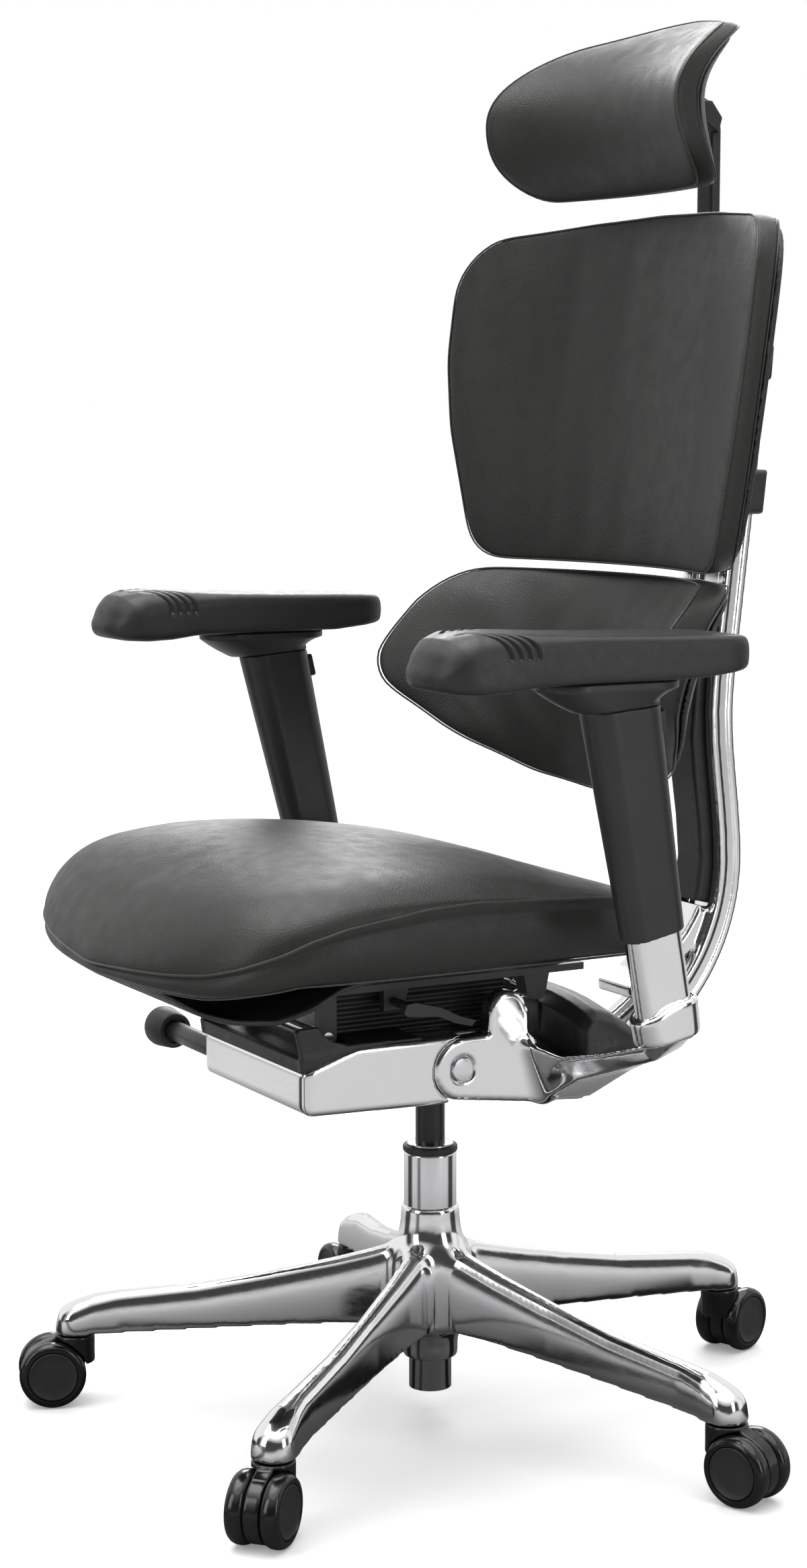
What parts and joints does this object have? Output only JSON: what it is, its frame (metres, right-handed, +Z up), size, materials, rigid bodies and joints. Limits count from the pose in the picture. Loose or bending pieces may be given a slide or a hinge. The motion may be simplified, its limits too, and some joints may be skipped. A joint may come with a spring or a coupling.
{
  "type": "swivel office chair",
  "caption": "High-back swivel office chair with synchronous tilt, sliding seat, adjustable headrest, lumbar pad and armrests on a five-arm caster base.",
  "frame": {"origin": "on the floor, under the axis of the gas column", "axes": "+Z up along the gas column, -Y is the way the sitter faces, +X is the sitter's left"},
  "size_m": [0.7674, 0.7452, 1.314],
  "materials": {
    "cast_aluminium": "hand-polished die casting",
    "polished_posts": "polished",
    "bright_steel": "bright plated",
    "black_steel": "black powder coat",
    "black_plastic": "fine moulded texture",
    "satin_plastic": "satin",
    "caster_plastic": "glossy nylon",
    "grey_plastic": "satin dark grey",
    "soft_arm_pad": "soft polyurethane skin",
    "black_leather": "smooth black leather, semi-gloss"
  },
  "bodies": {
    "base": {"base_star": "cast_aluminium", "caster_stems": "bright_steel", "column_tube": "bright_steel", "column_bush": "black_plastic", "thrust_bearing": "bright_steel"},
    "piston": {"gas_rod": "bright_steel"},
    "lift": {"gas_cylinder": "black_steel", "mech_housing": "cast_aluminium", "mech_cover": "black_plastic", "main_pins": "bright_steel", "tilt_springs": "black_steel"},
    "button": {"release_button": "bright_steel"},
    "tension": {"tension_shaft": "black_steel", "tension_knob": "black_plastic"},
    "height_handle": {"height_lever": "black_steel"},
    "tilt_handle": {"tilt_lever": "black_steel"},
    "yoke": {"yoke": "cast_aluminium", "arm_posts": "polished_posts", "back_rails": "cast_aluminium", "spine_insert": "black_plastic", "lumbar_bracket": "black_plastic"},
    "seat_frame": {"seat_plate": "black_steel", "seat_pins": "bright_steel"},
    "slide_handle": {"slide_lever": "black_steel"},
    "seat": {"seat_pan": "black_plastic", "seat_cushion": "black_leather"},
    "back": {"back_carriage": "black_plastic", "back_shell": "black_plastic", "back_cushion": "black_leather"},
    "lumbar": {"lumbar_shell": "black_plastic", "lumbar_cushion": "black_leather"},
    "headrest_post": {"head_post": "black_plastic"},
    "headrest_link": {"head_link": "grey_plastic"},
    "headrest": {"head_shell": "grey_plastic", "head_cushion": "black_leather"},
    "arm_left": {"arm_sleeve_left": "satin_plastic", "arm_head_left": "satin_plastic"},
    "slider_left": {"arm_slider_left": "satin_plastic"},
    "pad_left": {"arm_pad_left": "soft_arm_pad"},
    "push_left": {"arm_button_left": "black_plastic"},
    "arm_right": {"arm_sleeve_right": "satin_plastic", "arm_head_right": "satin_plastic"},
    "slider_right": {"arm_slider_right": "satin_plastic"},
    "pad_right": {"arm_pad_right": "soft_arm_pad"},
    "push_right": {"arm_button_right": "black_plastic"},
    "caster_1": {"caster_fork_1": "caster_plastic"},
    "roller_left_1": {"wheel_left_1": "caster_plastic"},
    "roller_right_1": {"wheel_right_1": "caster_plastic"},
    "caster_2": {"caster_fork_2": "caster_plastic"},
    "roller_left_2": {"wheel_left_2": "caster_plastic"},
    "roller_right_2": {"wheel_right_2": "caster_plastic"},
    "caster_3": {"caster_fork_3": "caster_plastic"},
    "roller_left_3": {"wheel_left_3": "caster_plastic"},
    "roller_right_3": {"wheel_right_3": "caster_plastic"},
    "caster_4": {"caster_fork_4": "caster_plastic"},
    "roller_left_4": {"wheel_left_4": "caster_plastic"},
    "roller_right_4": {"wheel_right_4": "caster_plastic"},
    "caster_5": {"caster_fork_5": "caster_plastic"},
    "roller_left_5": {"wheel_left_5": "caster_plastic"},
    "roller_right_5": {"wheel_right_5": "caster_plastic"}
  },
  "joints": [
    {"name": "seat_swivel", "type": "hinge", "parent": "base", "child": "piston", "pos_m": [0, 0, 0.2], "axis": [0, 0, 1], "continuous": true},
    {"name": "gas_lift", "type": "slide", "parent": "piston", "child": "lift", "axis": [0, 0, 1], "range_m": [-0.05, 0.05]},
    {"name": "gas_button", "type": "slide", "parent": "lift", "child": "button", "axis": [0, 0, -1], "range_m": [0, 0.0035], "stiffness_N_per_m": 1500},
    {"name": "height_lever_pull", "type": "hinge", "parent": "lift", "child": "height_handle", "pos_m": [-0.04, -0.03, 0.4], "axis": [0, 1, 0], "range_deg": [0, 4.5], "stiffness_Nm_per_rad": 3},
    {"name": "tilt_lever_turn", "type": "hinge", "parent": "lift", "child": "tilt_handle", "pos_m": [-0.105, -0.09, 0.37], "axis": [-1, 0, 0], "range_deg": [-12, 12]},
    {"name": "tension_turn", "type": "hinge", "parent": "lift", "child": "tension", "pos_m": [-0.2, -0.168, 0.35], "axis": [1, 0, 0], "range_deg": [-360, 360]},
    {"name": "recline", "type": "hinge", "parent": "lift", "child": "yoke", "pos_m": [0, -0.025, 0.357], "axis": [-1, 0, 0], "range_deg": [0, 22], "stiffness_Nm_per_rad": 90, "springref_deg": -24.06},
    {"name": "seat_tilt", "type": "hinge", "parent": "lift", "child": "seat_frame", "pos_m": [0, -0.15, 0.395], "axis": [-1, 0, 0], "range_deg": [0, 10.2]},
    {"name": "slide_lever_pull", "type": "hinge", "parent": "seat_frame", "child": "slide_handle", "pos_m": [0.09, -0.082, 0.421], "axis": [1, 0, 0], "range_deg": [0, 12], "stiffness_Nm_per_rad": 0.6, "springref_deg": -8.59},
    {"name": "seat_depth", "type": "slide", "parent": "seat_frame", "child": "seat", "axis": [0, 1, 0], "range_m": [-0.04, 0.01]},
    {"name": "back_height", "type": "slide", "parent": "yoke", "child": "back", "axis": [0, 0.1142, 0.9935], "range_m": [0, 0.05]},
    {"name": "lumbar_flex", "type": "hinge", "parent": "yoke", "child": "lumbar", "pos_m": [0, 0.262, 0.757], "axis": [-1, 0, 0], "range_deg": [-6, 3], "stiffness_Nm_per_rad": 60, "springref_deg": 1.72},
    {"name": "headrest_height", "type": "slide", "parent": "back", "child": "headrest_post", "axis": [0, 0, 1], "range_m": [0, 0.05]},
    {"name": "headrest_reach", "type": "hinge", "parent": "headrest_post", "child": "headrest_link", "pos_m": [0, 0.284, 1.229], "axis": [-1, 0, 0], "range_deg": [-10, 10]},
    {"name": "headrest_tilt", "type": "hinge", "parent": "headrest_link", "child": "headrest", "pos_m": [0, 0.258, 1.243], "axis": [-1, 0, 0], "range_deg": [-15, 20]},
    {"name": "arm_height_left", "type": "slide", "parent": "yoke", "child": "arm_left", "axis": [0.0444, -0.2055, 0.9776], "range_m": [-0.05, 0.05]},
    {"name": "pad_swivel_left", "type": "hinge", "parent": "arm_left", "child": "slider_left", "pos_m": [0.322, -0.015, 0.728], "axis": [0, 0, -1], "range_deg": [-10, 20]},
    {"name": "pad_depth_left", "type": "slide", "parent": "slider_left", "child": "pad_left", "axis": [0, 1, 0], "range_m": [-0.025, 0.02]},
    {"name": "arm_button_left_press", "type": "slide", "parent": "arm_left", "child": "push_left", "axis": [-0.0093, -0.9787, -0.2053], "range_m": [0, 0.003], "stiffness_N_per_m": 600},
    {"name": "arm_height_right", "type": "slide", "parent": "yoke", "child": "arm_right", "axis": [-0.0444, -0.2055, 0.9776], "range_m": [-0.05, 0.05]},
    {"name": "pad_swivel_right", "type": "hinge", "parent": "arm_right", "child": "slider_right", "pos_m": [-0.322, -0.015, 0.728], "axis": [0, 0, -1], "range_deg": [-20, 10]},
    {"name": "pad_depth_right", "type": "slide", "parent": "slider_right", "child": "pad_right", "axis": [0, 1, 0], "range_m": [-0.025, 0.02]},
    {"name": "arm_button_right_press", "type": "slide", "parent": "arm_right", "child": "push_right", "axis": [0.0093, -0.9787, -0.2053], "range_m": [0, 0.003], "stiffness_N_per_m": 600},
    {"name": "caster_swivel_1", "type": "hinge", "parent": "base", "child": "caster_1", "pos_m": [-0.19336, -0.28452, 0.06], "axis": [0, 0, 1], "continuous": true},
    {"name": "wheel_left_roll_1", "type": "hinge", "parent": "caster_1", "child": "roller_left_1", "pos_m": [-0.2011, -0.30511, 0.032], "axis": [0.9361, -0.3518, 0], "continuous": true},
    {"name": "wheel_right_roll_1", "type": "hinge", "parent": "caster_1", "child": "roller_right_1", "pos_m": [-0.2011, -0.30511, 0.032], "axis": [0.9361, -0.3518, 0], "continuous": true},
    {"name": "caster_swivel_2", "type": "hinge", "parent": "base", "child": "caster_2", "pos_m": [0.21084, -0.27181, 0.06], "axis": [0, 0, 1], "continuous": true},
    {"name": "wheel_left_roll_2", "type": "hinge", "parent": "caster_2", "child": "roller_left_2", "pos_m": [0.2251, -0.28857, 0.032], "axis": [0.7615, 0.6481, 0], "continuous": true},
    {"name": "wheel_right_roll_2", "type": "hinge", "parent": "caster_2", "child": "roller_right_2", "pos_m": [0.2251, -0.28857, 0.032], "axis": [0.7615, 0.6481, 0], "continuous": true},
    {"name": "caster_swivel_3", "type": "hinge", "parent": "base", "child": "caster_3", "pos_m": [0.32366, 0.11653, 0.06], "axis": [0, 0, 1], "continuous": true},
    {"name": "wheel_left_roll_3", "type": "hinge", "parent": "caster_3", "child": "roller_left_3", "pos_m": [0.34434, 0.12405, 0.032], "axis": [-0.342, 0.9397, 0], "continuous": true},
    {"name": "wheel_right_roll_3", "type": "hinge", "parent": "caster_3", "child": "roller_right_3", "pos_m": [0.34434, 0.12405, 0.032], "axis": [-0.342, 0.9397, 0], "continuous": true},
    {"name": "caster_swivel_4", "type": "hinge", "parent": "base", "child": "caster_4", "pos_m": [-0.01081, 0.34383, 0.06], "axis": [0, 0, 1], "continuous": true},
    {"name": "wheel_left_roll_4", "type": "hinge", "parent": "caster_4", "child": "roller_left_4", "pos_m": [-0.01887, 0.3643, 0.032], "axis": [-0.9304, -0.3665, 0], "continuous": true},
    {"name": "wheel_right_roll_4", "type": "hinge", "parent": "caster_4", "child": "roller_right_4", "pos_m": [-0.01887, 0.3643, 0.032], "axis": [-0.9304, -0.3665, 0], "continuous": true},
    {"name": "caster_swivel_5", "type": "hinge", "parent": "base", "child": "caster_5", "pos_m": [-0.33034, 0.09597, 0.06], "axis": [0, 0, 1], "continuous": true},
    {"name": "wheel_left_roll_5", "type": "hinge", "parent": "caster_5", "child": "roller_left_5", "pos_m": [-0.35226, 0.09789, 0.032], "axis": [-0.0872, -0.9962, 0], "continuous": true},
    {"name": "wheel_right_roll_5", "type": "hinge", "parent": "caster_5", "child": "roller_right_5", "pos_m": [-0.35226, 0.09789, 0.032], "axis": [-0.0872, -0.9962, 0], "continuous": true}
  ],
  "couplings": [
    {"joint": "seat_tilt", "follows": "recline", "ratio": 0.4623},
    {"joint": "gas_button", "follows": "height_lever_pull", "m_per_rad": 0.04}
  ]
}
